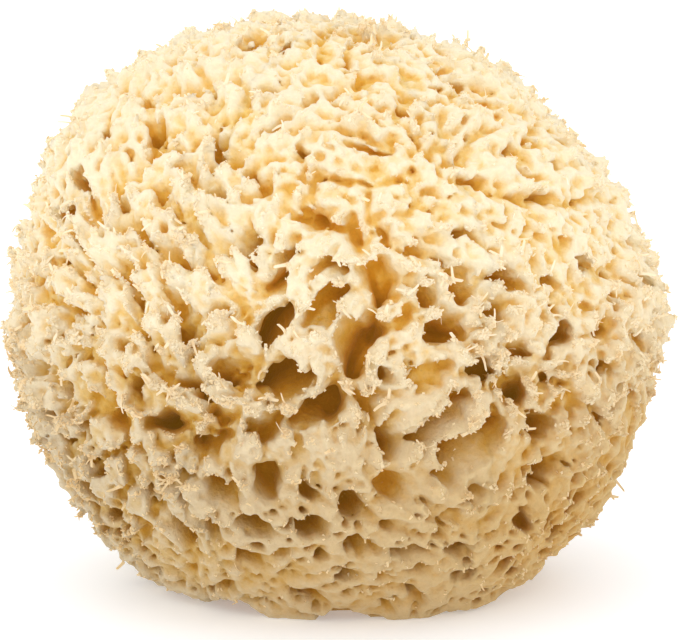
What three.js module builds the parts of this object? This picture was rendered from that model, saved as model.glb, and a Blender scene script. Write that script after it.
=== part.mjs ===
// A natural sea wool sponge, dried and trimmed for the bath, standing on the flat cut
// where it was taken off the rock.
//
// The sponge grew as one piece, so it is one solid. Its canals open all over it and run
// in towards the root. Thin walls part them, and every wall rises to a torn crest, highest
// where three walls meet. Each canal is one cell of a network of points spread over the
// body: the middle of the cell sinks to the canal's floor, its corners rise to the tufts,
// and the middles of its sides make the lower saddles between them.
//
// Millimetres, +Z up. The origin is on the flat cut, under the middle of the sponge's
// bounding box. +X is to the right of someone who faces the sponge, and +Y runs away.

import * as THREE from "three";
import { ConvexHull } from "three/addons/math/ConvexHull.js";

// The canals run in towards the root, which stands this high above the cut.
const ROOT_HEIGHT = 56;

// Distance from the root to the crests on the four sides, by elevation seen from the root.
const ELEVATIONS = [-40, -20, 0, 20, 40, 60, 80, 90];
const REACH = {
  right: [70, 69, 73, 70, 68.5, 69.5, 69, 68.5],
  back: [68, 67, 66, 66, 67, 69, 69.5, 68.5],
  left: [70, 70.5, 73, 74, 76.5, 77, 71, 68.5],
  front: [67, 67, 66, 66.5, 68, 69, 69, 68.5],
};

// The wide canals that mark the front, as degrees to the right, degrees up and the width
// of the mouth.
const MARKED_CANALS = [
  [-4, 12, 8], [3, 6, 8], [7, 18, 11], [13, 12, 7], [16, 16, 8], [10, 2, 5],
  [-30, 14, 7], [-15, 12, 10], [7, -1, 11], [-4, -4, 8], [4, -8, 8], [13, -8, 9],
  [26, 2, 10], [33, -1, 9], [35, 6, 7], [-12, 3, 9], [-34, -7, 12], [24, -14, 9],
  [0, -14, 5], [-13, 22, 11], [-14, 35, 8], [-40, 1, 9], [-30, -24, 9], [-17, -26, 9],
  [-4, -26, 11], [-17, -38, 9], [-29, -40, 5], [-63, 4, 6], [40, -10, 9], [36, -16, 7],
  [44, -20, 9], [59, -25, 9], [48, 2, 6], [23, -20, 6], [-30, 48, 12], [-62, 50, 7],
  [-58, 33, 8], [-51, 40, 7], [-48, 23, 6], [-35, 25, 6], [35, 37, 10], [51, 44, 7],
  [52, 31, 8], [48, 23, 7], [16, 50, 7], [11, 37, 5], [63, 15, 6], [-51, 70, 9],
  [-45, -20, 6], [22, -27, 5],
];

const CANALS = 840; // as many as would cover a whole ball, which sets their spacing
const USUAL_MOUTH = 7.2;
const MOUTH_RANGE = 0.26; // share by which a canal is wider or narrower than usual
const CLOSE_PACKING = 0.95; // share of the even spacing that neighbours must keep
const SETTLING_ROUNDS = 60; // rounds in which neighbours that are too close move apart
const CUT_THINNING = 4; // one canal in this many is kept on the flat cut

const FLOOR_DEPTH = 10.5; // from the crests to the floor of a canal of the usual width
const FLOOR_RANGE = 2.5; // how much deeper or shallower than that a floor lies
const MARKED_DEPTH = 3.5; // how much deeper than the others the marked canals run
const TUFT_RISE = 3.2; // how far the tallest tufts stand above the crests
const SADDLE_DROP = 5.5; // how far a wall dips between two tufts, at the most
const SHEARED_TOP = 34; // the sponge was sheared close from the cut up to this height
const SHEARED_CRESTS = 0.4; // share of the tufts' rise and the saddles' drop left there
const SHEARED_FLOORS = 0.85; // share of the floors' depth left there

const SEED = 20417;

// Numbers from 0 to 1 that are the same in every run.
function makeRandom(seed) {
  let state = seed;
  return () => {
    state = (state + 0x6d2b79f5) | 0;
    let t = Math.imul(state ^ (state >>> 15), 1 | state);
    t = (t + Math.imul(t ^ (t >>> 7), 61 | t)) ^ t;
    return ((t ^ (t >>> 14)) >>> 0) / 4294967296;
  };
}
const random = makeRandom(SEED);
const either = (range) => (2 * random() - 1) * range;

// The way from the root, for degrees to the right of the front and degrees up.
function wayTo(right, up) {
  const a = THREE.MathUtils.degToRad(right);
  const e = THREE.MathUtils.degToRad(up);
  return new THREE.Vector3(
    Math.sin(a) * Math.cos(e),
    -Math.cos(a) * Math.cos(e),
    Math.sin(e),
  );
}

// One side's reach at an elevation, straight between the stated ones.
function reachOnSide(side, elevation) {
  const reach = REACH[side];
  const last = ELEVATIONS.length - 1;
  if (elevation <= ELEVATIONS[0]) return reach[0];
  if (elevation >= ELEVATIONS[last]) return reach[last];
  const k = ELEVATIONS.findIndex((e) => e > elevation);
  const share = (elevation - ELEVATIONS[k - 1]) / (ELEVATIONS[k] - ELEVATIONS[k - 1]);
  return THREE.MathUtils.lerp(reach[k - 1], reach[k], share);
}

// Distance from the root to the crests along a way, before the flat cut.
function reachOf(way) {
  const elevation = THREE.MathUtils.radToDeg(Math.asin(THREE.MathUtils.clamp(way.z, -1, 1)));
  const across = Math.hypot(way.x, way.y) || 1;
  const x = way.x / across;
  const y = way.y / across;
  return (
    x * x * reachOnSide(x > 0 ? "right" : "left", elevation) +
    y * y * reachOnSide(y > 0 ? "back" : "front", elevation)
  );
}

const meetsCut = (way) => -way.z * reachOf(way) > ROOT_HEIGHT;

// The share of a depth or a rise that is left, from the least where the sponge was sheared
// close to the whole of it above.
function leftByShears(way, least) {
  const height = ROOT_HEIGHT + way.z * reachOf(way);
  const share = THREE.MathUtils.smoothstep(height, SHEARED_TOP * 0.5, SHEARED_TOP * 1.5);
  return THREE.MathUtils.lerp(least, 1, share);
}

// The canals, each a way from the root and a width beside the usual one. The marked ones
// stay where they are, and the others start on a spiral and settle round them.
function placeCanals() {
  const canals = MARKED_CANALS.map(([right, up, mouth]) => ({
    way: wayTo(right, up),
    width: mouth / USUAL_MOUTH,
    marked: true,
  }));
  const evenSpacing = Math.sqrt((4 * Math.PI * 2) / (CANALS * Math.sqrt(3)));
  const apart = (a, b) => (evenSpacing * CLOSE_PACKING * (a.width + b.width)) / 2;
  const goldenTurn = 180 * (3 - Math.sqrt(5));
  for (let k = 0; k < CANALS; k++) {
    const up = THREE.MathUtils.radToDeg(Math.asin(1 - (2 * k + 1) / CANALS));
    const canal = { way: wayTo(k * goldenTurn, up), width: 1 + either(MOUTH_RANGE) };
    const onCut = meetsCut(canal.way);
    if (onCut && k % CUT_THINNING) continue;
    if (onCut) canal.width *= Math.sqrt(CUT_THINNING);
    if (canals.some((c) => c.marked && c.way.angleTo(canal.way) < 0.7 * apart(c, canal))) continue;
    canals.push(canal);
  }
  const away = new THREE.Vector3();
  for (let round = 0; round < SETTLING_ROUNDS; round++) {
    canals.forEach((a, k) => {
      for (const b of canals.slice(k + 1)) {
        away.subVectors(a.way, b.way);
        const short = apart(a, b) - away.length();
        if (short <= 0 || (a.marked && b.marked)) continue;
        away.setLength(short * (a.marked || b.marked ? 1 : 0.5));
        if (!a.marked) a.way.add(away).normalize();
        if (!b.marked) b.way.sub(away).normalize();
      }
    });
  }
  return canals;
}

// The threes of canals that lie next to each other, turning left seen from outside.
function neighbouringThrees(canals) {
  const indexOf = new Map(canals.map((c, k) => [c.way, k]));
  const hull = new ConvexHull().setFromPoints(canals.map((c) => c.way));
  return hull.faces.map((face) => {
    const three = [];
    let edge = face.edge;
    do {
      three.push(indexOf.get(edge.head().point));
      edge = edge.next;
    } while (edge !== face.edge);
    return three;
  });
}

// The way to where the walls between some canals meet, nearer to the narrow canals.
function wayBetween(canals) {
  const way = new THREE.Vector3();
  for (const c of canals) way.addScaledVector(c.way, 1 / c.width);
  return way.normalize();
}

// A point of the surface: out along a way, but not past the flat cut.
function surfacePoint(way, distance) {
  if (meetsCut(way)) {
    const point = way.clone().multiplyScalar(-ROOT_HEIGHT / way.z);
    return [point.x, point.y, 0];
  }
  const point = way.clone().multiplyScalar(distance);
  return [point.x, point.y, Math.max(0, ROOT_HEIGHT + point.z)];
}

function spongeGeometry() {
  const canals = placeCanals();
  const points = [];
  const addPoint = (way, distance) => points.push(surfacePoint(way, distance)) - 1;

  const floors = canals.map((c) => {
    const usualDepth = FLOOR_DEPTH * (0.4 + 0.6 * c.width) + (c.marked ? MARKED_DEPTH : 0);
    const depth = (usualDepth + either(FLOOR_RANGE)) * leftByShears(c.way, SHEARED_FLOORS);
    return addPoint(c.way, reachOf(c.way) - depth);
  });
  const saddles = new Map();
  const saddleBetween = (a, b) => {
    const key = Math.min(a, b) + " " + Math.max(a, b);
    if (!saddles.has(key)) {
      const way = wayBetween([canals[a], canals[b]]);
      const drop = SADDLE_DROP * random() * leftByShears(way, SHEARED_CRESTS);
      saddles.set(key, addPoint(way, reachOf(way) - drop));
    }
    return saddles.get(key);
  };

  const faces = [];
  for (const three of neighbouringThrees(canals)) {
    const way = wayBetween(three.map((k) => canals[k]));
    const rise = TUFT_RISE * random() * leftByShears(way, SHEARED_CRESTS);
    const tuft = addPoint(way, reachOf(way) + rise);
    three.forEach((a, k) => {
      const b = three[(k + 1) % 3];
      const saddle = saddleBetween(a, b);
      faces.push(floors[a], saddle, tuft, saddle, floors[b], tuft);
    });
  }

  const geometry = new THREE.BufferGeometry();
  geometry.setAttribute("position", new THREE.Float32BufferAttribute(points.flat(), 3));
  geometry.setIndex(faces);
  geometry.computeVertexNormals();
  geometry.computeBoundingBox();
  const middle = geometry.boundingBox.getCenter(new THREE.Vector3());
  return geometry.translate(-middle.x, -middle.y, 0);
}

const sponge = new THREE.Mesh(
  spongeGeometry(),
  new THREE.MeshStandardMaterial({ color: "#ecd39c", roughness: 0.95, metalness: 0 }),
);
sponge.name = "sponge";

const seaSponge = new THREE.Group();
seaSponge.add(sponge);

export default seaSponge;
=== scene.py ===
# %% [markdown]
# # A natural sea wool sponge
#
# The real thing is the dried skeleton of an animal: a soft felt of spongin fibre, grown as
# one piece, with canals that open all over it. The canals are parted by thin walls, and
# every wall ends in a torn crest. This scene gives the plain CAD solid that look.
#
# The file is a lesson in cells. The frame comes first, then the camera and the light, then
# the shape of the flesh, then the frayed edges, and then the materials.

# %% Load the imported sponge
import math
import time
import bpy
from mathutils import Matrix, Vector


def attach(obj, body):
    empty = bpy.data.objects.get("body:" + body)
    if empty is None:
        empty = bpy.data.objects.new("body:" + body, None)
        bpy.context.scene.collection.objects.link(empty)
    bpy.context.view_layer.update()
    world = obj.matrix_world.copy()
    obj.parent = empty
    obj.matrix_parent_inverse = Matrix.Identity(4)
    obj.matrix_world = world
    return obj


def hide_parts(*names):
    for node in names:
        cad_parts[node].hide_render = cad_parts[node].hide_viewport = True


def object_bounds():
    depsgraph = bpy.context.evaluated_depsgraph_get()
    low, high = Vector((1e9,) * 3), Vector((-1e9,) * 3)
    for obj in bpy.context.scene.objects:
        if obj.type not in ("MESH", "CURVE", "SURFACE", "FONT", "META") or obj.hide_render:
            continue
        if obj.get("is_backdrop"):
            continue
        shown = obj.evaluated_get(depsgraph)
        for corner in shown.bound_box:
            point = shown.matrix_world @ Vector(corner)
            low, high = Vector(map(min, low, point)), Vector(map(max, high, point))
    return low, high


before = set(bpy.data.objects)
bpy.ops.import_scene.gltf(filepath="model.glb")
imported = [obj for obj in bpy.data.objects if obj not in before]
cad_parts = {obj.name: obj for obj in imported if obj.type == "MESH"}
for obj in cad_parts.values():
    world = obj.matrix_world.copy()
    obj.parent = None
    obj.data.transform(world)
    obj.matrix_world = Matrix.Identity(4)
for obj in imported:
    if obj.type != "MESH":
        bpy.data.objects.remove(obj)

from concurrent.futures import ThreadPoolExecutor

import bpy
import numpy as np
import openvdb
from mathutils import Vector

CAD_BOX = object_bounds()
STARTED = time.time()


def tell(what):
    print(f"{time.time() - STARTED:6.1f} s  {what}", flush=True)


tell(f"CAD box {[round(side, 4) for corner in CAD_BOX for side in corner]} m")

# %% [markdown]
# ## The camera
#
# The picture was taken from a little above the middle of the sponge with a long lens, so
# the outline is nearly flat. A lens is easier to set from what it should see: the width of
# the view at the sponge, over the distance, gives the focal length.

# %% Camera
CAMERA_DISTANCE = 0.80
CAMERA_ELEVATION = math.radians(10)
AIM_HEIGHT = 0.0594
VIEW_WIDTH = 0.1516
SENSOR_WIDTH = 36

camera_data = bpy.data.cameras.new("camera")
camera_data.sensor_width = SENSOR_WIDTH
camera_data.lens = SENSOR_WIDTH * CAMERA_DISTANCE / VIEW_WIDTH
camera = bpy.data.objects.new("camera", camera_data)
bpy.context.scene.collection.objects.link(camera)
back = Vector((0, -math.cos(CAMERA_ELEVATION), math.sin(CAMERA_ELEVATION)))
camera.location = Vector((0, 0, AIM_HEIGHT)) + back * CAMERA_DISTANCE
camera.rotation_euler = (-back).to_track_quat("-Z", "Y").to_euler()
bpy.context.scene.camera = camera
tell(f"lens {camera_data.lens:.0f} mm")

# %% [markdown]
# ## Helpers for materials
#
# Colours are picked as sRGB hex values, as in any drawing program, but Blender's sockets
# are linear, so one function turns them. Another adds a node, sets its values and links
# its inputs, which keeps a material readable as a list of what feeds what.

# %% Material helpers


def colour(text):
    """The linear colour of an sRGB hex value such as #f0e0c0."""
    shares = [int(text[k:k + 2], 16) / 255 for k in (1, 3, 5)]
    linear = [s / 12.92 if s <= 0.04045 else ((s + 0.055) / 1.055) ** 2.4 for s in shares]
    return (*linear, 1.0)


def add(tree, kind, values=None, **settings):
    """Adds a node. A value for an input is a constant, or an output socket to link."""
    node = tree.nodes.new(kind)
    for name, value in settings.items():
        setattr(node, name, value)
    for name, value in (values or {}).items():
        if isinstance(value, bpy.types.NodeSocket):
            tree.links.new(value, node.inputs[name])
        else:
            node.inputs[name].default_value = value
    return node


MIX_SHARE, MIX_A, MIX_B = 0, 6, 7    # the Mix node's inputs for colours, which share their names
MIX_OUT = 2


def new_material(name):
    """A material with an empty node tree but for its output."""
    made = bpy.data.materials.new(name)
    made.use_nodes = True
    made.node_tree.nodes.clear()
    return made, made.node_tree, add(made.node_tree, "ShaderNodeOutputMaterial")


# %% [markdown]
# ## Floor and light
#
# The sponge stands on a plain white sweep under a broad, soft light from above, so the
# crests are bright, the canals fall off to amber and the shadow is a pale smudge. A sun
# lamp with a wide angle lights everything evenly, like a very large softbox, and the white
# world fills the shadows.

# %% Floor and light
FLOOR_SIZE = 8.0
WORLD_FILL = 1.05
WORLD_WHITE = 1.0

bpy.ops.object.select_all(action="DESELECT")
bpy.ops.mesh.primitive_plane_add(size=FLOOR_SIZE, location=(0, 0, 0))
floor = bpy.context.object
floor.name = "floor"
white_card, tree, out = new_material("white_card")
card = add(tree, "ShaderNodeBsdfPrincipled", {
    "Base Color": colour("#f1f5fb"),
    "Roughness": 0.7,
    "Specular IOR Level": 0.1,
    "Emission Color": colour("#ffffff"),
    "Emission Strength": 0.28,
})
tree.links.new(card.outputs[0], out.inputs["Surface"])
floor.data.materials.append(white_card)
floor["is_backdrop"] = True

world = bpy.data.worlds.new("studio")
bpy.context.scene.world = world
world.use_nodes = True
tree = world.node_tree
tree.nodes.clear()
seen = add(tree, "ShaderNodeLightPath").outputs["Is Camera Ray"]
strength = add(tree, "ShaderNodeMapRange", {"Value": seen, "To Min": WORLD_FILL, "To Max": WORLD_WHITE})
sky = add(tree, "ShaderNodeBackground", {
    "Color": colour("#ffffff"),
    "Strength": strength.outputs[0],
})
out = add(tree, "ShaderNodeOutputWorld", {"Surface": sky.outputs[0]})


def add_sun(name, toward, power, spread, tint):
    """A sun lamp that shines from a side, with a spread in degrees."""
    lamp = bpy.data.lights.new(name, "SUN")
    lamp.energy = power
    lamp.angle = math.radians(spread)
    lamp.color = colour(tint)[:3]
    sun = bpy.data.objects.new(name, lamp)
    sun.rotation_euler = Vector(toward).to_track_quat("Z", "Y").to_euler()
    bpy.context.scene.collection.objects.link(sun)


add_sun("key", (-0.30, -0.78, 0.86), 0.45, 65, "#fffdf6")
add_sun("top", (-0.2, 0.1, 1.0), 0.06, 60, "#ffffff")
bpy.context.scene.view_settings.view_transform = "Standard"
tell("floor and light")

# %% [markdown]
# ## Where the canals are
#
# The CAD solid already holds the plan of the sponge. Each of its low points is the floor of
# a canal, and its high points are the crests between them: tufts where three walls meet,
# and saddles along a wall. A floor joins eight triangles or more, and a crest point four or
# six, so counting triangles tells them apart. The CAD mesh comes in as loose triangles, so
# a copy of it is merged first, and the node itself isn't touched.

# %% Read the canals
ROOT_HEIGHT = 56.0      # mm from the cut up to the root, where the canals point
MOST_AT_A_CREST = 6     # triangles that meet at a crest point
MM = 0.001

bpy.ops.object.select_all(action="DESELECT")
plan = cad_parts["sponge"].copy()
plan.data = plan.data.copy()
bpy.context.scene.collection.objects.link(plan)
plan.select_set(True)
bpy.context.view_layer.objects.active = plan
bpy.ops.object.mode_set(mode="EDIT")
bpy.ops.mesh.select_all(action="SELECT")
bpy.ops.mesh.remove_doubles(threshold=1e-6)
bpy.ops.object.mode_set(mode="OBJECT")

corners = np.empty(3 * len(plan.data.vertices), np.float32)
plan.data.vertices.foreach_get("co", corners)
corners = corners.reshape(-1, 3) / MM
used_by = np.empty(len(plan.data.loops), np.int32)
plan.data.loops.foreach_get("vertex_index", used_by)
meeting = np.bincount(used_by, minlength=len(corners))
PLAN_LOW = corners.min(0)
PLAN_HIGH = corners.max(0)
bpy.data.objects.remove(plan)


def polar(points):
    """Distances from the root, and the ways to the points as unit vectors."""
    out_from_root = points - np.float32([0, 0, ROOT_HEIGHT])
    distance = np.linalg.norm(out_from_root, axis=1)
    return distance.astype(np.float32), (out_from_root / distance[:, None]).astype(np.float32)


FLOOR_FAR, FLOOR_WAY = polar(corners[meeting > MOST_AT_A_CREST])
on_cut = corners[meeting > MOST_AT_A_CREST][:, 2] < 0.5
CREST_FAR, CREST_WAY = polar(corners[meeting <= MOST_AT_A_CREST])
crest_on_cut = corners[meeting <= MOST_AT_A_CREST][:, 2] < 0.5
tell(f"{len(FLOOR_WAY)} canals, {len(CREST_WAY)} crest points")

# %% [markdown]
# A canal's width is how far its floor lies from the nearest crest points. It is kept as a
# share of the usual width, so that a wide canal takes a wide cell between its neighbours.
# Where the sponge is cut flat, the canals run on up into it and show as holes in the cut.

# %% Canal widths, and the smooth outline of the crests
CUT_CANAL_DEPTH = 9.0     # mm that the canals reach up into the flat cut
REACH_BELOW = 67.0        # mm from the root to where the crests were, below the cut

gap = np.sqrt(np.maximum(0, 2 - 2 * FLOOR_WAY @ CREST_WAY.T))
CANAL_WIDTH = np.sort(gap, axis=1)[:, :6].mean(1)
CANAL_WIDTH = np.clip(CANAL_WIDTH / np.median(CANAL_WIDTH), 0.6, 2.2).astype(np.float32)
FLOOR_FAR[on_cut] -= CUT_CANAL_DEPTH


def wave_terms(way):
    """Smooth functions of a way, whose weighted sum is a soft closed outline."""
    x, y, z = way[..., 0], way[..., 1], way[..., 2]
    terms = []
    for power in (3, 4):
        for px in range(power + 1):
            for py in range(power + 1 - px):
                terms.append(x ** px * y ** py * z ** (power - px - py))
    return terms


sampled = np.concatenate([CREST_WAY[~crest_on_cut], CREST_WAY[crest_on_cut]])
sampled_far = np.concatenate([
    CREST_FAR[~crest_on_cut],
    np.full(crest_on_cut.sum(), REACH_BELOW, np.float32),
])
OUTLINE, *_ = np.linalg.lstsq(np.stack(wave_terms(sampled), 1), sampled_far, rcond=None)
OUTLINE = OUTLINE.astype(np.float32)


def reach_along(way):
    """Distance in mm from the root to the smooth outline of the crests."""
    far = np.zeros(way.shape[:-1], np.float32)
    for weight, term in zip(OUTLINE, wave_terms(way)):
        far += weight * term
    return far


CREST_RISE = (CREST_FAR - reach_along(CREST_WAY)).astype(np.float32)
CREST_RISE[crest_on_cut] = 0
tell(f"crests rise {CREST_RISE.min():.1f} to {CREST_RISE.max():.1f} mm about their outline")

# %% [markdown]
# ## A block of small cells, and soft noise in it
#
# Torn flesh with thousands of holes can't be pushed and pulled out of a sphere by hand.
# It is easier to say how far each point of space is from the flesh, on a fine grid, and to
# let OpenVDB draw the surface where that distance is zero. Blender's own Remesh and Volume
# to Mesh tools work in the same way.
#
# Nature needs noise. Random numbers on a coarse lattice, smoothed by cubic splines, give
# soft lumps of a chosen size, and it is quick because each axis is smoothed by itself.

# %% Grid and noise
VOXEL = 0.50              # mm between the grid's points
MARGIN = np.float32([4.5, 4.5, 4.5])
BELOW_CUT = 1.3           # mm of grid below the flat cut
LATTICE_SPREAD = 0.19     # spread of smoothed lattice values, which makes the noise about 1

low_corner = PLAN_LOW - MARGIN
low_corner[2] = -BELOW_CUT
cells = np.ceil((PLAN_HIGH + MARGIN - low_corner) / VOXEL).astype(int) + 1
AXES = [(low_corner[k] + VOXEL * np.arange(cells[k])).astype(np.float32) for k in range(3)]


def spline_rows(axis, spacing, shift):
    """For each point of an axis, the first of four lattice points and their weights."""
    place = (axis - axis[0]) / spacing + shift
    first = np.floor(place).astype(int)
    t = (place - first).astype(np.float32)
    weights = [(1 - t) ** 3, 3 * t ** 3 - 6 * t ** 2 + 4, -3 * t ** 3 + 3 * t ** 2 + 3 * t + 1, t ** 3]
    return first, np.stack(weights) / 6


def soft_noise(spacing, seed):
    """Noise with lumps of about twice the spacing, as a function of a slab of the grid."""
    random = np.random.default_rng(seed)
    rows = [spline_rows(axis, spacing, random.random()) for axis in AXES]
    counts = [first[-1] + 4 for first, weights in rows]
    lattice = (random.uniform(-1, 1, counts) / LATTICE_SPREAD).astype(np.float32)
    smooth = []
    for k in (1, 2):
        first, weights = rows[k]
        matrix = np.zeros((len(first), counts[k]), np.float32)
        for tap in range(4):
            matrix[np.arange(len(first)), first + tap] = weights[tap]
        smooth.append(matrix)
    planes = np.matmul(np.matmul(smooth[0], lattice), smooth[1].T)
    first, weights = rows[0]

    def in_slab(start, stop):
        total = 0
        for tap in range(4):
            total = total + weights[tap, start:stop, None, None] * planes[first[start:stop] + tap]
        return total

    return in_slab


SIZES_AND_SEEDS = {
    "sway_x": (15.0, 100), "sway_y": (15.0, 101), "sway_z": (15.0, 102),
    "bend_x": (8.0, 110), "bend_y": (8.0, 111), "bend_z": (8.0, 112),
    "swell": (14.0, 12), "nub": (2.4, 11), "grain": (1.3, 13), "fray": (0.8, 15),
}
with ThreadPoolExecutor(4) as pool:
    made = pool.map(lambda pair: soft_noise(*pair), SIZES_AND_SEEDS.values())
    NOISE = dict(zip(SIZES_AND_SEEDS, made))
tell(f"grid of {cells[0]} x {cells[1]} x {cells[2]} points")

# %% [markdown]
# ## Noise drawn out along the canals
#
# A sponge's fibres and pleats run outwards, along the canals. So the finer lumps are noise
# that depends on the way from the root alone and doesn't change along it, as if it were
# painted on a ball and drawn out. It is worked out once on the six faces of a cube round
# the root and looked up from there.

# %% Drawn-out noise
FACE = 400                # samples along the side of a face, about 0.35 mm apart on the ball
BALL = 68.0               # mm from the root to where the noise has its stated size
steps = (np.arange(FACE) + 0.5) * 2 / FACE - 1
u, v = (side.ravel() for side in np.meshgrid(steps, steps, indexing="ij"))
face_ways = []
for axis in range(3):
    for sign in (-1, 1):
        face_ways.append(np.stack(np.roll([np.full_like(u, sign), u, v], axis, axis=0), 1))
FACE_WAY = np.concatenate(face_ways)
FACE_WAY /= np.linalg.norm(FACE_WAY, axis=1)[:, None]


def drawn_out_noise(spacing, seed):
    """Noise on the cube's faces, with lumps of about twice the spacing on the ball."""
    random = np.random.default_rng(seed)
    place = (FACE_WAY + 1) * (BALL / spacing) + 1 + random.random(3)
    first = place.astype(int)
    t = place - first
    t = t * t * (3 - 2 * t)
    count = first.max() + 2
    lattice = random.normal(0, 1.0, (count, count, count)).astype(np.float32)
    total = 0
    for corner in np.ndindex(2, 2, 2):
        weight = np.prod([t[:, k] if corner[k] else 1 - t[:, k] for k in range(3)], axis=0)
        total = total + weight * lattice[tuple((first + corner).T)]
    return (total / total.std()).astype(np.float32)


DRAWN_OUT = {
    "curl_x": (3.4, 120), "curl_y": (3.4, 121), "curl_z": (3.4, 122),
    "turn_x": (3.4, 123), "turn_y": (3.4, 124), "turn_z": (3.4, 125),
    "crimp_x": (1.5, 130), "crimp_y": (1.5, 131), "crimp_z": (1.5, 132),
    "clump": (8.5, 477),
    "lobe": (6.0, 10), "lump": (3.5, 14), "tuft": (2.0, 16), "wisp": (1.1, 17),
}
with ThreadPoolExecutor(4) as pool:
    made = pool.map(lambda pair: drawn_out_noise(*pair), DRAWN_OUT.values())
    ON_FACES = dict(zip(DRAWN_OUT, made))


def on_faces(way):
    """For each way, four samples on the cube and their weights."""
    size = np.abs(way)
    axis = size.argmax(1)
    row = np.arange(len(way))
    along = way[row, axis]
    scale = 1 / np.abs(along)
    place_u = (way[row, (axis + 1) % 3] * scale + 1) * (FACE / 2) - 0.5
    place_v = (way[row, (axis + 2) % 3] * scale + 1) * (FACE / 2) - 0.5
    first_u = np.clip(place_u.astype(np.int32), 0, FACE - 2)
    first_v = np.clip(place_v.astype(np.int32), 0, FACE - 2)
    t_u, t_v = place_u - first_u, place_v - first_v
    start = ((2 * axis + (along > 0)) * FACE + first_u) * FACE + first_v
    samples = np.stack([start, start + 1, start + FACE, start + FACE + 1])
    weights = np.stack([(1 - t_u) * (1 - t_v), (1 - t_u) * t_v, t_u * (1 - t_v), t_u * t_v])
    return samples.astype(np.int32), weights.astype(np.float32)


tell(f"drawn-out noise on 6 x {FACE} x {FACE} samples")

# %% [markdown]
# ## Finding the nearest canals quickly
#
# Every grid point has to find its nearest canals. All canals run from one root, so only the
# way from the root counts. The ways are sorted into small boxes once, each with a list of
# the canals nearest to it, and a grid point only looks through its own box's list.

# %% Look-up boxes
WAY_BOXES = 28
CANALS_LISTED = 11
CRESTS_LISTED = 12


def box_of(way):
    place = np.clip(((way + 1) * (WAY_BOXES / 2)).astype(np.int32), 0, WAY_BOXES - 1)
    return (place[..., 0] * WAY_BOXES + place[..., 1]) * WAY_BOXES + place[..., 2]


box_middle = (np.indices((WAY_BOXES,) * 3).reshape(3, -1).T + 0.5) * 2 / WAY_BOXES - 1
box_far = np.linalg.norm(box_middle, axis=1)
near_sphere = np.abs(box_far - 1) < 2.0 / WAY_BOXES
box_way = (box_middle[near_sphere] / box_far[near_sphere, None]).astype(np.float32)


def nearest_list(ways, count):
    """For each box, the numbers of the ways nearest to it."""
    listed = np.zeros((WAY_BOXES ** 3, count), np.int32)
    listed[near_sphere] = np.argsort(-box_way @ ways.T, axis=1)[:, :count]
    return listed


def apart(way, ways, listed):
    """Distance on the unit ball from each way to its listed ones."""
    cosine = np.einsum("mk,mjk->mj", way, ways[listed])
    return np.sqrt(np.maximum(1e-9, 2 - 2 * cosine))


NEAR_CANALS = nearest_list(FLOOR_WAY, CANALS_LISTED)
NEAR_CRESTS = nearest_list(CREST_WAY, CRESTS_LISTED)
tell("look-up boxes")

# %% [markdown]
# ## Throats and pores
#
# At the back of a few canals a narrow throat runs on into the dark, which gives the deep
# brown spots. Fine pores open on the broad lands between the canals low down. A throat is a
# short slanted tube from the floor inwards. The pores are spread on a spiral that covers
# the ball evenly, and are then shaken a little. No two canals grow alike, so each also gets
# a random share that makes it narrower and shallower than the others, or wider.

# %% Throats and pores
random = np.random.default_rng(7)
canal_count = len(FLOOR_WAY)
THROAT_SHARE = 0.05       # share of the canals that have a throat
START_ABOVE = 5.0         # mm above the CAD floor, because the canals here end higher up
THROAT_LENGTH = random.uniform(7, 10, canal_count).astype(np.float32)
THROAT_LENGTH *= random.random(canal_count) < THROAT_SHARE
THROAT_RADIUS = (random.uniform(0.9, 1.4, canal_count) * np.clip(CANAL_WIDTH, 0.8, 1.7)).astype(np.float32)
slant = random.normal(0, 0.28, (canal_count, 3)).astype(np.float32)
THROAT_WAY = slant - FLOOR_WAY
THROAT_WAY /= np.linalg.norm(THROAT_WAY, axis=1)[:, None]
THROAT_START = (FLOOR_WAY * (FLOOR_FAR + START_ABOVE)[:, None]).astype(np.float32)
FLOOR_DEPTH = reach_along(FLOOR_WAY) - FLOOR_FAR
GROWN = random.uniform(0.0, 1.0, canal_count).astype(np.float32)
GROWN[CANAL_WIDTH > 1.15] = 1.0
WIDEST = 1.35             # beside the usual canal
CANAL_WIDTH *= 0.80 + 0.42 * GROWN
CANAL_WIDTH = np.minimum(CANAL_WIDTH, WIDEST)

PORES = 5200
PORE_RADIUS = (0.15 + 0.80 * random.random(PORES) ** 4).astype(np.float32)
PORE_DEPTH = random.uniform(1.0, 4.5, PORES).astype(np.float32)
step = np.arange(PORES) + 0.5
height = 1 - 2 * step / PORES
turn = math.pi * (1 + math.sqrt(5)) * step
round_it = np.sqrt(1 - height ** 2)
PORE_WAY = np.stack([np.cos(turn) * round_it, np.sin(turn) * round_it, height], 1)
PORE_WAY += random.normal(0, 0.03, (PORES, 3))
PORE_WAY = (PORE_WAY / np.linalg.norm(PORE_WAY, axis=1)[:, None]).astype(np.float32)
PORES_LISTED = 5
NEAR_PORES = nearest_list(PORE_WAY, PORES_LISTED)
tell(f"{int((THROAT_LENGTH > 0).sum())} throats, {PORES} pores")

# %% [markdown]
# ## Four kinds of surface
#
# The sponge doesn't look the same all over. Low down it was sheared close, so the lands are
# broad and smooth and the holes are clean. On top the crests are soft clumps with narrow
# clefts between them. On the left the walls are plates that are combed upwards. In the
# middle of the front the canals are wide and their walls thin, with torn lips. Each zone is
# a share from 0 to 1, worked out from the height or from the angle to a middle way.

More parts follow.
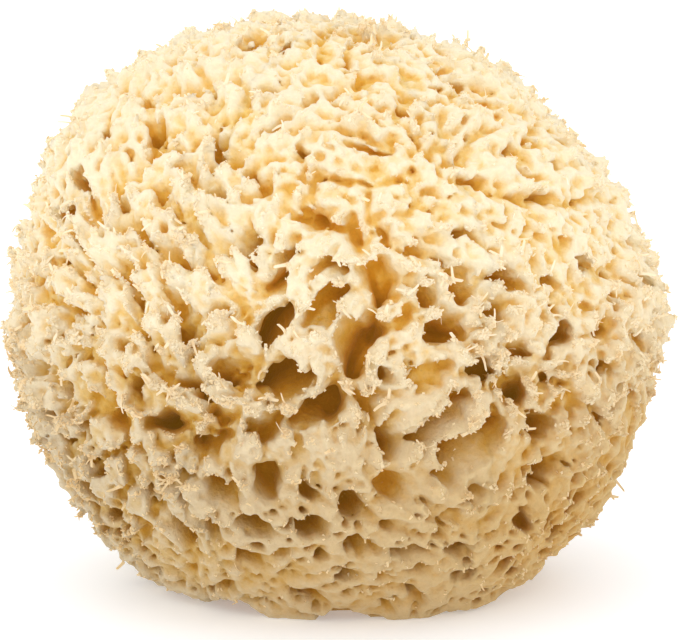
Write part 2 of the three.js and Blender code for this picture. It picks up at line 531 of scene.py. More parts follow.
# %% Zones
SHEARED_FROM = 56.0       # mm above the cut where the shearing begins to show
SHEARED_TO = 28.0         # and below which it is complete
SOFT_FROM = 64.0          # mm above the cut where the crests begin to be rounder
SOFT_TO = 98.0
OPEN_RIGHT = math.radians(4)
OPEN_UP = math.radians(-2)
OPEN_WAY = np.float32([
    math.sin(OPEN_RIGHT) * math.cos(OPEN_UP),
    -math.cos(OPEN_RIGHT) * math.cos(OPEN_UP),
    math.sin(OPEN_UP),
])
OPEN_NEAR = math.cos(math.radians(18))
OPEN_FAR = math.cos(math.radians(44))
COMBED_WAY = np.float32([-0.88, -0.42, 0.22])
COMBED_NEAR = math.cos(math.radians(30))
COMBED_FAR = math.cos(math.radians(65))
COMBED_SLOPE = np.float32([-0.12, 0.0, 0.40])
PLATE_WAY = np.float32([0.60, -0.25, -0.76])    # along the plates of the combed side


def ramp(low, high, value):
    """From 0 to 1 between two values, with soft ends."""
    t = np.clip((value - low) / (high - low), 0, 1)
    return t * t * (3 - 2 * t)


def soft_min(a, b, blend):
    """The lesser of two distances, with a fillet where they meet."""
    h = np.clip(0.5 + 0.5 * (b - a) / blend, 0, 1)
    return b + (a - b) * h - blend * h * (1 - h)


def soft_max(a, b, blend):
    """The greater of two distances, with a fillet where they meet."""
    return -soft_min(-a, -b, blend)


# %% [markdown]
# ## The flesh
#
# For one point of the grid, this works out how far it is from the flesh:
#
# 1. The point is first moved by the soft noise, so that straight canals sway and curl.
# 2. The nearest canal and the next ones give the distance to the middle of the wall
#    between them. The wall is thick low down and thin at its torn lip.
# 3. Below the canal's floor everything is flesh, and a throat may run through it.
# 4. The crest, torn by finer and finer noise, ends the wall outside. The soft clumps come
#    from noise without its sign, which has a cleft wherever the noise passes through zero.
# 5. Pores and fine grain come last.

# %% Distance to the flesh
CORE_FAR = 43.0           # mm from the root within which all is flesh
OUTSIDE = 3.0             # mm, the most that the grid keeps of any distance
SHARPNESS = 45.0          # how sharply a wall turns where three cells meet
LIP = 7.0                 # mm below the crest where a wall begins to thin
TUFT_HEIGHT = 1.7         # mm to which the crests are torn up and down
LEAN = 0.22               # how far the canals lean off the way from the root
TURN_DEPTH = 9.0          # mm of depth in which the pleats of a wall turn into others
STEEPNESS = 0.75          # how far a distance along the canals counts beside the crests' slopes
SWAY = 1.2                # mm by which the canals sway, in waves of 30 mm
BEND = 0.75               # mm by which they bend, in waves of 16 mm
CURL = 0.30               # mm by which the walls are pleated, deep in a canal
CURL_AT_LIPS = 0.45       # mm more of it at the lips
CRIMP = 0.15              # mm by which they are crimped, more finely
CRIMP_AT_LIPS = 0.25
HALF_WALL = 1.45          # mm, half the thickness of a thin wall
HALF_LUMPY = 0.75         # mm more where the crests are lumpy
HALF_SHEARED = 0.45       # mm more where they are sheared
HALF_CLUMP = 1.3          # mm more in a soft clump
THIN_LIP = 0.60           # mm less at an open lip
MERGED_DROP = 3.2         # mm that the walls between combed plates stand lower
ABOVE_RISE = 0.3          # mm that the crests stand above the outline
CLUMP_HEIGHT = 3.4        # mm from the cleft to the top of a large clump
LOBE_HEIGHT = 1.1         # and of a small one on it
CLUMP_MEAN = 2.8          # mm taken off, so that clumps stand about the outline
KEPT_DEPTH = 0.85         # share of its depth that a clean hole keeps
FLOOR_BLEND = 2.2         # mm over which a wall runs into the floor
ROOT = np.float32([0, 0, ROOT_HEIGHT])
plan_middle = (PLAN_LOW + PLAN_HIGH) / 2
plan_half = (PLAN_HIGH - PLAN_LOW) / 2


def flesh_at(p, noise):
    """Signed distances in mm from some points, given from the root, to the flesh."""
    far = np.linalg.norm(p, axis=1)
    way = p / far[:, None]
    reach = reach_along(way)
    depth = reach - far
    sheared = 1 - ramp(SHEARED_TO, SHEARED_FROM, p[:, 2] + ROOT_HEIGHT + 5 * noise["swell"])
    opened = np.maximum(ramp(OPEN_FAR, OPEN_NEAR, way @ OPEN_WAY + 0.04 * noise["swell"]),
                        ramp(0.9, 1.9, noise["swell"]) * 0.8) * (1 - 0.6 * sheared)
    lumpy = 1 - opened
    combed = ramp(COMBED_FAR, COMBED_NEAR, way @ COMBED_WAY)
    torn = 1 - 0.70 * sheared

    def drawn(*names):
        """Drawn-out noises along the ways, side by side."""
        return [(ON_FACES[name][samples] * weights).sum(0) for name in names]

    sway = np.stack([noise["sway_x"], noise["sway_y"], noise["sway_z"]], 1)
    bend = np.stack([noise["bend_x"], noise["bend_y"], noise["bend_z"]], 1)
    near_lip = np.clip(1 - depth / LIP, 0, 1.2)
    inward = np.clip(depth, -4, 14)
    q = p + SWAY * sway + (BEND + 0.5 * opened)[:, None] * bend
    q += inward[:, None] * (LEAN * sway + combed[:, None] * COMBED_SLOPE)
    q_far = np.linalg.norm(q, axis=1)
    samples, weights = on_faces(q / q_far[:, None])
    phase = depth / TURN_DEPTH
    curl = np.stack(drawn("curl_x", "curl_y", "curl_z"), 1) * np.cos(phase)[:, None]
    curl += np.stack(drawn("turn_x", "turn_y", "turn_z"), 1) * np.sin(phase)[:, None]
    crimp = np.stack(drawn("crimp_x", "crimp_y", "crimp_z"), 1)
    q += ((CURL + CURL_AT_LIPS * near_lip) * torn)[:, None] * curl
    q += ((CRIMP + CRIMP_AT_LIPS * near_lip) * torn)[:, None] * crimp
    clump, lobe, lump, tuft, wisp = drawn("clump", "lobe", "lump", "tuft", "wisp")
    q_far = np.linalg.norm(q, axis=1)
    q_way = q / q_far[:, None]
    box = box_of(q_way)

    listed = NEAR_CANALS[box]
    gap = apart(q_way, FLOOR_WAY, listed) / CANAL_WIDTH[listed]
    best = np.argpartition(gap, 3, axis=1)[:, :4]
    gap = np.take_along_axis(gap, best, 1)
    nearest = np.take_along_axis(listed, best, 1)
    order = np.argsort(gap, axis=1)
    gap = np.take_along_axis(gap, order, 1)
    nearest = np.take_along_axis(nearest, order, 1)
    own = nearest[:, 0]
    next_gap = -np.log(np.exp(-SHARPNESS * gap[:, 1:]).sum(1)) / SHARPNESS
    to_wall = (next_gap - gap[:, 0]) * q_far
    to_wall /= 1 / CANAL_WIDTH[own] + 1 / CANAL_WIDTH[nearest[:, 1]]

    crest_gap = apart(q_way, CREST_WAY, NEAR_CRESTS[box])
    weight = crest_gap ** -4
    rise = (weight * CREST_RISE[NEAR_CRESTS[box]]).sum(1) / weight.sum(1)
    across = FLOOR_WAY[own] - FLOOR_WAY[nearest[:, 1]]
    across /= np.linalg.norm(across, axis=1)[:, None]
    merged = combed * ramp(0.45, 0.85, np.abs(across @ PLATE_WAY))
    softer = ramp(SOFT_FROM, SOFT_TO, p[:, 2] + ROOT_HEIGHT)
    tear = (1.0 + 0.6 * softer) * lobe + 0.8 * lump + (0.45 - 0.15 * softer) * tuft
    tear += 0.25 * wisp + 0.30 * noise["nub"] + 0.25 * noise["grain"]
    tuft_height = TUFT_HEIGHT + 0.9 * np.maximum(opened, softer)
    tear = tuft_height * np.tanh((1 + 0.5 * opened) * tear / tuft_height) - 0.5 * softer
    pillow = CLUMP_HEIGHT * np.tanh(1.2 * np.abs(clump)) + LOBE_HEIGHT * np.tanh(1.4 * np.abs(lobe))
    pillow -= CLUMP_MEAN
    pillowy = np.maximum(0.85 * softer, 0.45 * combed) * lumpy * (1 - sheared)
    tear += pillowy * (pillow + 0.30 * lump + 0.18 * tuft + 0.10 * wisp - tear)
    top = 0.45 * rise + torn * tear - MERGED_DROP * merged + 0.8 * noise["swell"] + ABOVE_RISE
    below = top + depth

    lip = np.clip(1 - below / LIP, 0, 1)
    half = HALF_WALL + HALF_LUMPY * lumpy * torn - THIN_LIP * opened * lip + 0.15 * noise["swell"]
    half += HALF_SHEARED * sheared
    half += HALF_CLUMP * pillowy
    half += (0.45 * lump + 0.35 * tuft) * (0.45 + 0.55 * lip) * (1 - 0.5 * sheared)
    flesh = to_wall - half
    shallow = 0.75 * ramp(0.05, 0.75, GROWN[own]) + 0.12
    kept_open = ramp(0.60, 0.68, GROWN[own])
    clean = KEPT_DEPTH * kept_open
    floor_depth = FLOOR_DEPTH[own] * (shallow * (1 - 0.4 * softer) + (clean - shallow) * sheared)
    floor_far = reach - floor_depth + (0.8 * lobe + 0.6 * lump) * torn + (2.2 - 2.6 * kept_open) * sheared
    flesh = soft_min(flesh, q_far - floor_far, FLOOR_BLEND)

    along = q - THROAT_START[own]
    share = np.clip((along * THROAT_WAY[own]).sum(1), 0, THROAT_LENGTH[own])
    away = np.linalg.norm(along - share[:, None] * THROAT_WAY[own], axis=1)
    throat = THROAT_RADIUS[own] * (1 + 0.25 * noise["nub"]) - away
    throat = np.where(THROAT_LENGTH[own] > 0, throat, -OUTSIDE)
    flesh = soft_max(flesh, throat, 0.8)

    listed = NEAR_PORES[box]
    narrower = (0.9 * (1 - sheared))[:, None]
    pore = apart(q_way, PORE_WAY, listed) * q_far[:, None] - PORE_RADIUS[listed] + narrower
    pore = np.maximum(pore, below[:, None] - PORE_DEPTH[listed])
    flesh = soft_max(flesh, -(pore.min(1) + 0.25 * noise["nub"]), 0.5)

    flesh = soft_max(flesh, -below * STEEPNESS, 0.5 + 0.9 * sheared + 0.4 * lumpy)
    puffs = 0.55 * (np.abs(noise["nub"]) - 0.8) + 0.35 * (np.abs(noise["grain"]) - 0.8)
    flesh -= (0.25 + 0.75 * lumpy) * puffs * (0.25 + 0.75 * lip) * torn * (1 - 0.5 * sheared - 0.35 * softer)
    flesh += 0.22 * noise["fray"] * (0.20 + 0.80 * lip) * torn
    return flesh


def fill_slab(start, stop):
    """The distances in one slab of the grid. Only points near the surface are worked out."""
    x, y, z = np.meshgrid(AXES[0][start:stop], AXES[1], AXES[2], indexing="ij", sparse=True)
    far = np.sqrt(x ** 2 + y ** 2 + (z - ROOT_HEIGHT) ** 2)
    squash = ((x - plan_middle[0]) / (plan_half[0] + 5)) ** 2
    squash = squash + ((y - plan_middle[1]) / (plan_half[1] + 5)) ** 2
    squash = squash + ((z - plan_middle[2] + 2) / (plan_half[2] + 9)) ** 2
    wanted = (far > CORE_FAR) & (squash < 1.12)
    i, j, k = np.nonzero(wanted)
    p = np.stack([AXES[0][start + i], AXES[1][j], AXES[2][k]], 1) - ROOT
    noise = {name: make(start, stop)[wanted] for name, make in NOISE.items()}
    flesh = np.where(far <= CORE_FAR, -OUTSIDE, OUTSIDE).astype(np.float32)
    flesh[wanted] = flesh_at(p, noise)
    return flesh


SLAB = 10                 # planes of the grid that one thread takes at a time
slabs = [(start, min(start + SLAB, cells[0])) for start in range(0, cells[0], SLAB)]
with ThreadPoolExecutor(4) as pool:
    filled = list(pool.map(lambda slab: fill_slab(*slab), slabs))
FLESH = np.concatenate(filled)
del filled
FLESH = np.maximum(FLESH, -AXES[2])
tell("distances worked out")

# %% [markdown]
# ## Nothing floats
#
# Noise can tear a bit of wall right off. Loose bits are found by flooding the flesh from
# the root: a sweep along an axis carries the flood as far as the flesh goes, and sweeps
# along all three axes, both ways, are repeated until nothing new is reached.

# %% Drop the loose bits


def sweep(wet, may):
    """Carries the flood up and down the first axis of a part of the grid."""
    for k in range(1, len(wet)):
        wet[k] |= may[k] & wet[k - 1]
    for k in range(len(wet) - 2, -1, -1):
        wet[k] |= may[k] & wet[k + 1]


def flood(solid, seed):
    """The part of a solid that is joined to one of its cells."""
    reached = np.zeros_like(solid)
    reached[seed] = True
    before = 0
    with ThreadPoolExecutor(4) as pool:
        while np.count_nonzero(reached) > before:
            before = np.count_nonzero(reached)
            for axis, split in ((0, 1), (1, 0), (2, 0)):
                parts = [np.array_split(np.moveaxis(whole, axis, 0), 4, axis=1) if split else
                         [np.moveaxis(part, axis, 0) for part in np.array_split(whole, 4, axis=0)]
                         for whole in (reached, solid)]
                list(pool.map(sweep, *parts))
    return reached


root_cell = tuple(int(np.argmin(np.abs(AXES[k] - ROOT[k]))) for k in range(3))
SOLID = FLESH < 0
loose = SOLID & ~flood(SOLID, root_cell)
FLESH[loose] = 0.3
tell(f"{int(loose.sum())} loose grid points dropped of {int(SOLID.sum())}")

# %% [markdown]
# ## Lips and hollows
#
# Two things tell a torn lip from a hollow: the share of air around a point and its depth.
# The air is the mean of the distance to the flesh over a small block of the grid, worked
# out with running sums along each axis. On a flat part it is zero, on a lip it is above
# zero and in a slit below. The frayed edges grow on the lips, and the colour follows it
# too, with painted shade in the hollows and painted light on the lips.

# %% Air around each point
AIR_BLOCK = 9             # grid points along the side of the block
AIR_LIMIT = 1.5           # mm beyond which a distance counts no further


def running_mean(field, count, axis):
    """The mean of an odd number of neighbours along one axis."""
    half = count // 2
    widths = [(half + 1, half) if k == axis else (0, 0) for k in range(3)]
    total = np.cumsum(np.pad(field, widths, mode="edge"), axis=axis, dtype=np.float32)
    size = field.shape[axis]
    upper = np.take(total, np.arange(count, count + size), axis=axis)
    return (upper - np.take(total, np.arange(size), axis=axis)) / count


AIR = np.clip(FLESH, -AIR_LIMIT, AIR_LIMIT)
for axis in range(3):
    AIR = running_mean(AIR, AIR_BLOCK, axis)
tell(f"air from {AIR.min():.2f} to {AIR.max():.2f} mm")


def air_at(places):
    """The air around some places in mm, from the nearest grid point."""
    i, j, k = [np.clip(np.rint((places[:, a] - low_corner[a]) / VOXEL).astype(int), 0, cells[a] - 1)
               for a in range(3)]
    return AIR[i, j, k]


# %% [markdown]
# ## The mesh pieces
#
# One mesh of the whole surface would have far more triangles than a piece may have, so it is
# cut into wedges, like an orange's, about the upright line through the root. Each wedge is a
# closed solid and runs on well into its neighbours, because light that wanders through the
# felt is lost at the end of a mesh. There it sinks a tenth of a millimetre under the
# neighbour's surface, so that only one of the two is seen. The front gets the narrowest
# wedges, and with them the finest triangles.

# %% Draw the surfaces
WEDGES = {                # degrees to the right of the front where each wedge starts and ends
    "sponge_front": (-30, 30),
    "sponge_right": (30, 92),
    "sponge_back_right": (92, 180),
    "sponge_back_left": (180, 268),
    "sponge_left": (268, 330),
}
WEDGE_TRIANGLES = {"sponge_back_right": 90000, "sponge_back_left": 90000}
MOST_TRIANGLES = 180000
OVERLAP = 8.0             # mm that each wedge runs into its neighbours
DIP = 0.10                # mm by which it sinks under their surface there
x, y = AXES[0][:, None, None], AXES[1][None, :, None]


def past_side(degrees):
    """How far each grid point is to the right of an upright plane through the root, in mm."""
    a = math.radians(degrees)
    return (x * math.cos(a) + y * math.sin(a)).astype(np.float32)


def draw(name, start, end, target):
    """Draws the wedge between two planes, and sets it up to be thinned to a number of triangles."""
    beyond = np.maximum(-past_side(start), past_side(end))
    inset = DIP * ramp(-0.25, 0.25, beyond)
    field = np.maximum(FLESH + inset, beyond - OVERLAP)
    filled = np.nonzero((field < OUTSIDE).any((1, 2)))[0]
    first, last = filled[0], filled[-1] + 1
    grid = openvdb.FloatGrid(OUTSIDE)
    grid.copyFromArray(np.minimum(np.maximum(field[first:last], -OUTSIDE), OUTSIDE))
    points, triangles, quads = grid.convertToPolygons(isovalue=0.0, adaptivity=0.0)
    points = ((points + [first, 0, 0]) * VOXEL + low_corner) * MM
    mesh = bpy.data.meshes.new(name)
    mesh.vertices.add(len(points))
    mesh.vertices.foreach_set("co", points.astype(np.float32).ravel())
    mesh.loops.add(4 * len(quads))
    mesh.loops.foreach_set("vertex_index", np.ascontiguousarray(quads[:, ::-1]).ravel().astype(np.int32))
    mesh.polygons.add(len(quads))
    mesh.polygons.foreach_set("loop_start", 4 * np.arange(len(quads), dtype=np.int32))
    mesh.update(calc_edges=True)
    piece = bpy.data.objects.new(name, mesh)
    bpy.context.scene.collection.objects.link(piece)
    thin = piece.modifiers.new("thin", "DECIMATE")
    thin.ratio = min(1.0, target / (2 * len(quads)))
    thin.use_collapse_triangulate = True
    tell(f"{name}: {2 * len(quads)} triangles")
    return piece


flesh_pieces = [draw(name, start, end, WEDGE_TRIANGLES.get(name, MOST_TRIANGLES))
                for name, (start, end) in WEDGES.items()]

# %% [markdown]
# Blender works out the modifiers of several objects side by side, so all the wedges are
# thinned in one go. Decimate keeps small triangles where the surface is torn and large ones
# where it is smooth.

# %% Thin the meshes
bpy.ops.object.select_all(action="DESELECT")
for piece in flesh_pieces:
    piece.select_set(True)
bpy.context.view_layer.objects.active = flesh_pieces[0]
bpy.context.view_layer.update()
bpy.ops.object.convert(target="MESH")
bpy.ops.object.shade_smooth()
for piece in flesh_pieces:
    tell(f"{piece.name}: {len(piece.data.polygons)} triangles kept")

# %% [markdown]
# ## Frayed edges
#
# Every torn lip ends in a fringe: flakes of felt a millimetre long, a few single threads,
# and here and there a petal that curls over. They are too fine for the grid, so they are
# thousands of small blunt curls with three sides, joined in two meshes. A curl is likelier
# the more air there is around its root, and rarer on the soft clumps on top. Each one is
# closed and set a little into the flesh, so nothing floats.

# %% Fringe
SET_IN = 0.35             # mm that a root is set into the flesh
AIR_STEP = 0.16           # mm of mean air that makes a curl much likelier
RATHER_LOW = 4.0          # mm below the outline under which curls are rare
LAST_RING = 0.93          # share of a curl's length at its last ring, so that its end is blunt
FLAKES = {"long": (0.6, 1.2), "wide": (0.25, 0.50), "flat": (0.45, 0.9), "curl": (0.1, 0.8), "rings": 2}
THREADS = {"long": (0.8, 1.5), "wide": (0.09, 0.15), "flat": (1.0, 1.0), "curl": (0.3, 1.2), "rings": 2}
PETALS = {"long": (1.2, 2.3), "wide": (0.32, 0.60), "flat": (0.30, 0.5), "curl": (0.7, 1.7), "rings": 5}


def vertices_of(pieces):
    """Places in mm and outward normals of the vertices of some pieces."""
    both = []
    for values in ("co", "normal"):
        read = []
        for piece in pieces:
            flat = np.empty(3 * len(piece.data.vertices), np.float32)
            piece.data.vertices.foreach_get(values, flat)
            read.append(flat.reshape(-1, 3))
        both.append(np.concatenate(read))
    return both[0] / MM, both[1]


def unit(vectors):
    return vectors / np.maximum(1e-9, np.linalg.norm(vectors, axis=-1, keepdims=True))


def grow_curls(name, roots, kinds, seed):
    """One mesh of small curls of a few kinds. Roots are places, normals and chances."""
    random = np.random.default_rng(seed)
    places, normals, chance = roots
    all_points, all_faces, used = [], [], 0
    for kind, count in kinds:
        chosen = random.choice(len(places), count, replace=False, p=chance / chance.sum())
        root, normal = places[chosen], normals[chosen]
        far, way = polar(root)
        toward = unit(0.7 * normal + 1.1 * way + 0.5 * random.normal(size=(count, 3)))
        side = unit(np.cross(toward, random.normal(size=(count, 3))))
        other = np.cross(side, toward)
        length = random.uniform(*kind["long"], count)
        wide = random.uniform(*kind["wide"], count)
        flat = random.uniform(*kind["flat"], count)
        curl = random.uniform(*kind["curl"], count) * length
        rings = []
        for ring in range(kind["rings"] + 1):
            t = 1 if ring == kind["rings"] else LAST_RING * ring / (kind["rings"] - 1)
            middle = root + toward * (length * (t - 0.25 * t * t * t) - SET_IN)[:, None]
            middle += side * (curl * t * t)[:, None]
            for corner in range(3 if ring < kind["rings"] else 1):
                angle = 2 * math.pi * corner / 3
                across = wide * (1 - 0.35 * t) if ring < kind["rings"] else 0 * wide
                rim = other * (across * math.cos(angle))[:, None]
                rim += side * (across * flat * math.sin(angle))[:, None]
                rings.append(middle + rim)
        points = np.stack(rings, 1)
        faces = [(2, 1, 0)]
        for a in range(0, 3 * (kind["rings"] - 1), 3):
            for b, c in ((0, 1), (1, 2), (2, 0)):
                faces += [(a + b, a + c, a + c + 3), (a + b, a + c + 3, a + b + 3)]
        last = 3 * (kind["rings"] - 1)
        faces += [(last, last + 1, last + 3), (last + 1, last + 2, last + 3), (last + 2, last, last + 3)]
        inside = (points > PLAN_LOW - [1, 1, -0.5]).all((1, 2)) & (points < PLAN_HIGH + 1).all((1, 2))
        points = points[inside]
        starts = used + points.shape[1] * np.arange(len(points))
        all_points.append(points.reshape(-1, 3))
        all_faces.append((np.array(faces)[None] + starts[:, None, None]).reshape(-1, 3))
        used += points.shape[0] * points.shape[1]
    mesh = bpy.data.meshes.new(name)
    mesh.from_pydata((np.concatenate(all_points) * MM).tolist(), [], np.concatenate(all_faces).tolist())
    piece = bpy.data.objects.new(name, mesh)
    bpy.context.scene.collection.objects.link(piece)
    tell(f"{name}: {len(mesh.polygons)} triangles")
    return piece


places, normals = vertices_of(flesh_pieces)
far, way = polar(places)
out = far - reach_along(way)
sheared = 1 - ramp(SHEARED_TO, SHEARED_FROM, places[:, 2])
chance = np.exp(np.clip(air_at(places) / AIR_STEP, -6, 6)) * ramp(-RATHER_LOW - 3, -RATHER_LOW + 3, out)
softer = ramp(SOFT_FROM, SOFT_TO, places[:, 2])
chance *= (1 - 0.15 * sheared) * (1 - 0.5 * softer) * (places[:, 2] > 3)
front = places[:, 1] < 8
fringes = []
for name, there, kinds in (
        ("fringe_front", front, ((FLAKES, 10000), (THREADS, 250), (PETALS, 700))),
        ("fringe_rest", ~front, ((FLAKES, 7000), (THREADS, 150), (PETALS, 250)))):
    roots = (places[there], normals[there], chance[there])
    fringes.append(grow_curls(name, roots, kinds, seed=31 + len(fringes)))

# %% [markdown]
# ## How deep each point lies
#
# The flesh looks cream at the crests and amber in the canals, because light that has been
# through more felt comes back warmer. The renderer does part of that by itself. The rest is
# painted into the base colour, partly as the felt's own darker colour inside and partly as
# painted shade, and follows two numbers kept at each vertex: its depth below the smooth
# outline, and how far it lies in a hollow rather than on a lip.

# %% Depth and shelter of each vertex
ATTRIBUTE_DEPTH = 16.0    # mm below the outline at which the attribute reaches 1
ABOVE_OUTLINE = 2.0       # mm above the outline where it is 0


def keep(piece, name, values):
    """Keeps a number from 0 to 1 at each vertex of a piece."""
    layer = piece.data.attributes.new(name, "FLOAT", "POINT")
    layer.data.foreach_set("value", np.clip(values, 0, 1).astype(np.float32))


for piece in flesh_pieces + fringes:
    places, normals = vertices_of([piece])
    far, way = polar(places)
    keep(piece, "canal_depth", (reach_along(way) + ABOVE_OUTLINE - far) / ATTRIBUTE_DEPTH)
    keep(piece, "shelter", 0.5 - air_at(places) / AIR_LIMIT)
tell("depth and shelter kept")

# %% [markdown]
# ## The felt of the sponge
#
# Spongin is a horny protein, like hair. Dried, it is a matt, pale felt that lets light in,
# so thin lips glow and shadows are warm. The base colour runs from cream over straw to
# amber with depth, partly the felt's own colour and partly painted shade, with hollows
# painted darker and lips and the top lighter. The sheared lower part is more tan, partly
# its own colour and partly painted shade, greyish at the left and golden at the right,
# and the lands there show fine pinholes as brown dots of painted shade. Subsurface
# scattering carries the light a few millimetres through the walls.
# The flesh behind the canals' floors is solid here, so no light comes through it from
# further off. A faint amber glow in the deep canals stands in for that light.

# %% Felt material
# Cream at the crests to amber deep down: partly the felt's own colour, partly painted shade in the canals.
FELT_AND_DEPTH_SHADE_STOPS = [(0.0, "#fcebc9"), (0.16, "#fbe0ac"), (0.32, "#f4cf82"), (0.50, "#ecba50"),
              (0.70, "#dfa02c"), (1.0, "#b27016")]
# The tan low down is partly the felt's own colour and partly painted shade.
TAN_AND_SHADE_FROM = 84.0           # mm above the cut where the tan begins
TAN_AND_SHADE_TO = 22.0             # and below which it is complete
GLOW = "#ffc23a"          # stands in for light through the walls, in a deep canal


def felt_material(name):
    """The felt, whose colour follows the two numbers that the vertices keep."""
    made, tree, out = new_material(name)
    place = add(tree, "ShaderNodeTexCoord").outputs["Object"]
    in_mm = add(tree, "ShaderNodeVectorMath", {0: place, "Scale": 1000.0}, operation="SCALE").outputs[0]
    deep = add(tree, "ShaderNodeAttribute", attribute_name="canal_depth").outputs["Fac"]

    # Painted shade and light: a hollow counts as deeper than it is, so darker, a lip as less deep, so
    # lighter, and the top a little too, a painted highlight.
    shelter = add(tree, "ShaderNodeAttribute", attribute_name="shelter").outputs["Fac"]
    hollow_shade_and_lip_light = add(tree, "ShaderNodeMapRange", {
        "Value": shelter, "From Min": 0.2, "From Max": 0.8, "To Min": -0.20, "To Max": 0.20,
    }).outputs[0]
    both = add(tree, "ShaderNodeMath", {0: deep, 1: hollow_shade_and_lip_light}, operation="ADD").outputs[0]
    apart_mm = add(tree, "ShaderNodeSeparateXYZ", {0: in_mm})
    height = apart_mm.outputs["Z"]
    upper = add(tree, "ShaderNodeMapRange", {
        "Value": height, "From Min": 66.0, "From Max": 108.0, "To Min": 0.0, "To Max": -0.03,
    }).outputs[0]
    both = add(tree, "ShaderNodeMath", {0: both, 1: upper}, operation="ADD").outputs[0]

    # Blotches of 8 mm shift the depth a little, so that no two canals are quite alike.
    blotch = add(tree, "ShaderNodeTexNoise", {"Vector": in_mm, "Scale": 1 / 8, "Detail": 3.0}).outputs[0]
    shift = add(tree, "ShaderNodeMapRange", {
        "Value": blotch, "From Min": 0.3, "From Max": 0.7, "To Min": -0.07, "To Max": 0.07,
    }).outputs[0]
    shifted = add(tree, "ShaderNodeMath", {0: both, 1: shift}, operation="ADD").outputs[0]
    felt_and_shade_ramp = add(tree, "ShaderNodeValToRGB", {"Fac": shifted})
    for position, shade in FELT_AND_DEPTH_SHADE_STOPS[1:-1]:
        felt_and_shade_ramp.color_ramp.elements.new(position)
    for element, (position, shade) in zip(felt_and_shade_ramp.color_ramp.elements, FELT_AND_DEPTH_SHADE_STOPS):
        element.position = position
        element.color = colour(shade)

    # The lower part is more tan, partly its own colour and partly painted shade, and the painted shade is
    # greyish at the left and golden at the right.
    rightness = add(tree, "ShaderNodeMapRange", {
        "Value": apart_mm.outputs["X"], "From Min": -55.0, "From Max": 45.0, "To Min": 0.0, "To Max": 1.0,
    }).outputs[0]
    low_tint_and_shade = add(tree, "ShaderNodeMix", {
        MIX_SHARE: rightness, MIX_A: colour("#d3cec8"), MIX_B: colour("#cdb78f"),
    }, data_type="RGBA").outputs[MIX_OUT]
    low = add(tree, "ShaderNodeMapRange", {
        "Value": height, "From Min": TAN_AND_SHADE_FROM, "From Max": TAN_AND_SHADE_TO, "To Min": 0.0, "To Max": 1.0,
    }, interpolation_type="SMOOTHSTEP").outputs[0]
    tan_and_shade = add(tree, "ShaderNodeMix", {
        MIX_SHARE: low, MIX_A: felt_and_shade_ramp.outputs[0], MIX_B: low_tint_and_shade,
    }, data_type="RGBA", blend_type="MULTIPLY").outputs[MIX_OUT]

    # Pinholes about 1 mm apart show as brown dots of painted shade on the sheared lands, in patches.
    pinholes = add(tree, "ShaderNodeTexVoronoi", {"Vector": in_mm, "Scale": 0.9}).outputs["Distance"]
    dot = add(tree, "ShaderNodeMapRange", {
        "Value": pinholes, "From Min": 0.26, "From Max": 0.14, "To Min": 0.0, "To Max": 1.0,
    }).outputs[0]
    patch = add(tree, "ShaderNodeMapRange", {
        "Value": blotch, "From Min": 0.50, "From Max": 0.62, "To Min": 0.0, "To Max": 0.55,
    }).outputs[0]
    low_patch = add(tree, "ShaderNodeMath", {0: patch, 1: low}, operation="MULTIPLY").outputs[0]
    dots = add(tree, "ShaderNodeMath", {0: dot, 1: low_patch}, operation="MULTIPLY").outputs[0]
    dotted = add(tree, "ShaderNodeMix", {
        MIX_SHARE: dots, MIX_A: tan_and_shade, MIX_B: colour("#b98f55"),
    }, data_type="RGBA").outputs[MIX_OUT]

    # The felt itself: fibres of 0.1 mm are too fine to show, so it is drawn 0.5 mm coarse.
    coarse = add(tree, "ShaderNodeTexNoise", {
        "Vector": in_mm, "Scale": 0.9, "Detail": 4.0, "Roughness": 0.65,
    }).outputs[0]
    bumps = add(tree, "ShaderNodeBump", {"Height": coarse, "Strength": 0.45, "Distance": 0.0016}).outputs[0]
    mottle = add(tree, "ShaderNodeMapRange", {
        "Value": coarse, "From Min": 0.3, "From Max": 0.7, "To Min": 0.92, "To Max": 1.04,
    }).outputs[0]
    mottled = add(tree, "ShaderNodeVectorMath", {0: dotted, "Scale": mottle}, operation="SCALE").outputs[0]
    # The deeper a point lies, the more it glows, in place of light through the walls.
    glow = add(tree, "ShaderNodeMapRange", {
        "Value": shifted, "From Min": 0.25, "From Max": 0.85, "To Min": 0.0, "To Max": 0.07,
    }).outputs[0]
    felt = add(tree, "ShaderNodeBsdfPrincipled", {
        "Base Color": mottled,
        "Normal": bumps,
        "Roughness": 0.9,
        "Specular IOR Level": 0.2,
        "Subsurface Weight": 0.35,
        "Subsurface Radius": (1.0, 0.94, 0.80),
        "Subsurface Scale": 0.004,
        "Sheen Weight": 0.12,
        "Sheen Roughness": 0.5,
        "Sheen Tint": colour("#fff4d8"),
        "Emission Color": colour(GLOW),
        "Emission Strength": glow,
    })
    tree.links.new(felt.outputs[0], out.inputs["Surface"])
    made.cycles.emission_sampling = "NONE"
    return made


felt = felt_material("dry_spongin_felt")
for piece in flesh_pieces:
    piece.data.materials.append(felt)
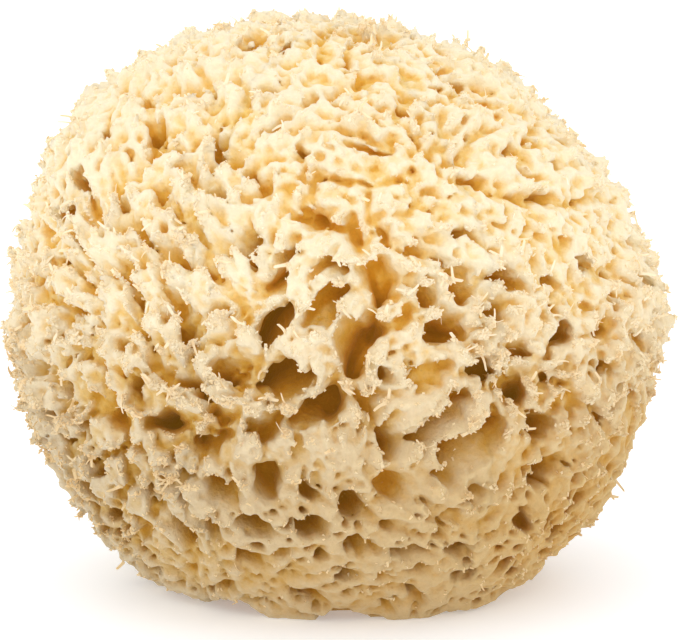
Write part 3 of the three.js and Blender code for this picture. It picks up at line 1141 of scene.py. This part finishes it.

# %% [markdown]
# ## The frayed fibre
#
# A single flake or bundle of spongin is too small for light to wander far in it: some goes
# straight through. So its shader mixes a plain surface with a translucent one. It is a
# pale straw colour and a little glossier than the felt, and its faces stay flat, because
# a curl of three sides looks like a dark thorn when it is shaded smooth. Low down it is
# more tan, partly its own colour and partly painted shade. It glows very slightly, painted
# light that keeps its shaded sides from going grey.

# %% Frayed fibre material
fibre, tree, out = new_material("frayed_spongin_fibre")
fibre.cycles.emission_sampling = "NONE"
place = add(tree, "ShaderNodeTexCoord").outputs["Object"]
in_mm = add(tree, "ShaderNodeVectorMath", {0: place, "Scale": 1000.0}, operation="SCALE").outputs[0]
blotch = add(tree, "ShaderNodeTexNoise", {"Vector": in_mm, "Scale": 0.25, "Detail": 2.0}).outputs[0]
straws = add(tree, "ShaderNodeValToRGB", {"Fac": blotch})
for element, (position, shade) in zip(straws.color_ramp.elements, [(0.35, "#fff0cf"), (0.65, "#fff8e4")]):
    element.position = position
    element.color = colour(shade)
height = add(tree, "ShaderNodeSeparateXYZ", {0: in_mm}).outputs["Z"]
# Low down the fibre is more tan, partly its own colour and partly painted shade.
low = add(tree, "ShaderNodeMapRange", {
    "Value": height, "From Min": TAN_AND_SHADE_FROM, "From Max": TAN_AND_SHADE_TO, "To Min": 0.0, "To Max": 1.0,
}, interpolation_type="SMOOTHSTEP").outputs[0]
tan_and_shade = add(tree, "ShaderNodeMix", {
    MIX_SHARE: low, MIX_A: straws.outputs[0], MIX_B: colour("#eee2ca"),
}, data_type="RGBA", blend_type="MULTIPLY").outputs[MIX_OUT]
shiny = add(tree, "ShaderNodeBsdfPrincipled", {
    "Base Color": tan_and_shade,
    "Roughness": 0.75,
    "Specular IOR Level": 0.25,
    # Painted light: a faint glow keeps the curls' shaded sides from going grey.
    "Emission Color": colour("#ffd890"),
    "Emission Strength": 0.05,
})
let_through = add(tree, "ShaderNodeBsdfTranslucent", {"Color": tan_and_shade})
thin = add(tree, "ShaderNodeMixShader", {0: 0.30, 1: shiny.outputs[0], 2: let_through.outputs[0]})
tree.links.new(thin.outputs[0], out.inputs["Surface"])
for piece in fringes:
    piece.data.materials.append(fibre)

# %% Tell the frame
for piece in flesh_pieces + fringes:
    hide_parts("sponge")
    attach(piece, "root")

# %% Sizes
MODEL_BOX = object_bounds()
tell(f"model box {[round(float(side), 4) for corner in MODEL_BOX for side in corner]} m")
